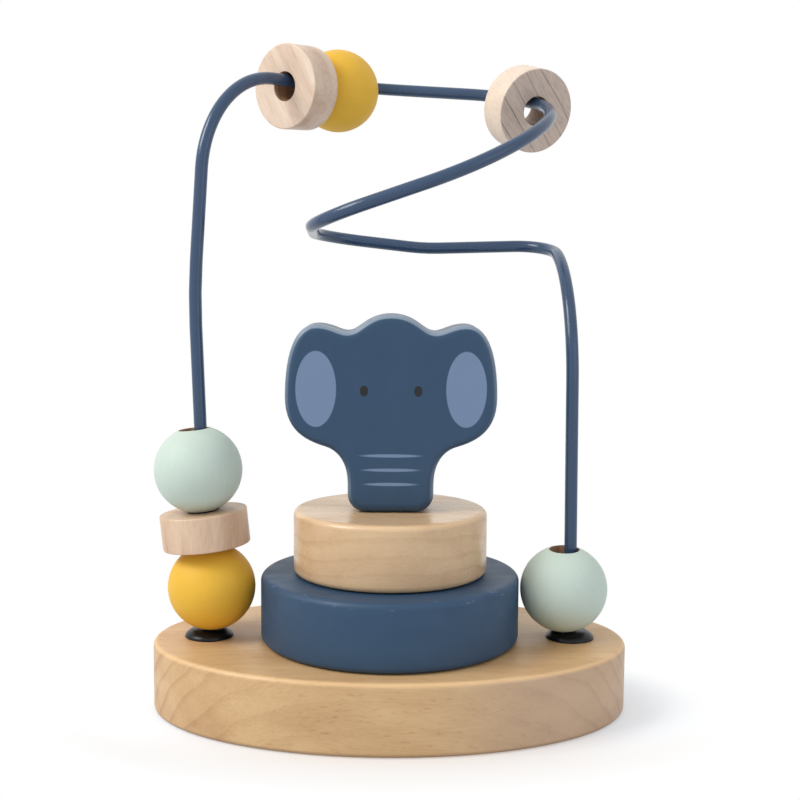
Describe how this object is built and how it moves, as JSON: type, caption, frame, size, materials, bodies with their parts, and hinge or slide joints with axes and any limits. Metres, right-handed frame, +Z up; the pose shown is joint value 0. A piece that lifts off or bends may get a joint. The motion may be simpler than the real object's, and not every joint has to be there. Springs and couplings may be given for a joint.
{
  "type": "wooden bead maze toy",
  "caption": "Tabletop toddler toy: an oval beech board with a looped wire that carries sliding ball and disc beads, round a post with turning discs under a flat animal head",
  "frame": {"origin": "middle of the board's flat underside", "axes": "+Z up, +X along the board's length to the viewer's right, and the toy's front faces -Y"},
  "size_m": [0.135, 0.0987, 0.1922],
  "materials": {
    "beech": "bare sanded beech",
    "blue_paint": "wood under matt blue paint",
    "yellow_paint": "wood under satin yellow paint",
    "mint_paint": "wood under satin mint paint",
    "blue_coated_steel": "steel wire in a smooth blue plastic coat",
    "black_plastic": "glossy black moulding"
  },
  "bodies": {
    "frame": {"base_board": "beech", "maze_wire": "blue_coated_steel", "left_collar": "black_plastic", "right_collar": "black_plastic", "centre_post": "beech", "elephant_head": "blue_paint"},
    "lower_disc": {"lower_disc": "blue_paint"},
    "upper_disc": {"upper_disc": "beech"},
    "left_yellow_ball": {"left_yellow_ball": "yellow_paint"},
    "left_disc_bead": {"left_disc_bead": "beech"},
    "left_mint_ball": {"left_mint_ball": "mint_paint"},
    "top_disc_bead": {"top_disc_bead": "beech"},
    "top_yellow_ball": {"top_yellow_ball": "yellow_paint"},
    "back_disc_bead": {"back_disc_bead": "beech"},
    "right_mint_ball": {"right_mint_ball": "mint_paint"}
  },
  "joints": [
    {"name": "lower_disc_turn", "type": "hinge", "parent": "frame", "child": "lower_disc", "pos_m": [0, 0, 0.0295], "axis": [0, 0, 1], "continuous": true},
    {"name": "upper_disc_turn", "type": "hinge", "parent": "frame", "child": "upper_disc", "pos_m": [0, 0, 0.0483], "axis": [0, 0, 1], "continuous": true},
    {"name": "left_yellow_slide", "type": "slide", "parent": "frame", "child": "left_yellow_ball", "axis": [-0.0354, 0, 0.9994], "range_m": [0, 0.008]},
    {"name": "left_disc_slide", "type": "slide", "parent": "left_yellow_ball", "child": "left_disc_bead", "axis": [-0.0354, 0, 0.9994], "range_m": [0, 0.008]},
    {"name": "left_mint_slide", "type": "slide", "parent": "left_disc_bead", "child": "left_mint_ball", "axis": [-0.0354, 0, 0.9994], "range_m": [0, 0.008]},
    {"name": "top_disc_slide", "type": "slide", "parent": "frame", "child": "top_disc_bead", "axis": [-0.5869, -0.8082, -0.0492], "range_m": [0, 0.012]},
    {"name": "top_ball_travel", "type": "hinge", "parent": "frame", "child": "top_yellow_ball", "pos_m": [-0.00036, 0.01937, 0.17808], "axis": [-0.0564, 0.1014, -0.9932], "range_deg": [0, 46]},
    {"name": "back_disc_travel", "type": "hinge", "parent": "frame", "child": "back_disc_bead", "pos_m": [0.01729, 0.01858, 0.17195], "axis": [-0.0174, 0.2743, -0.9615], "range_deg": [-30, 24]},
    {"name": "right_mint_slide", "type": "slide", "parent": "frame", "child": "right_mint_ball", "axis": [-0.0089, 0, 1], "range_m": [0, 0.045]}
  ]
}
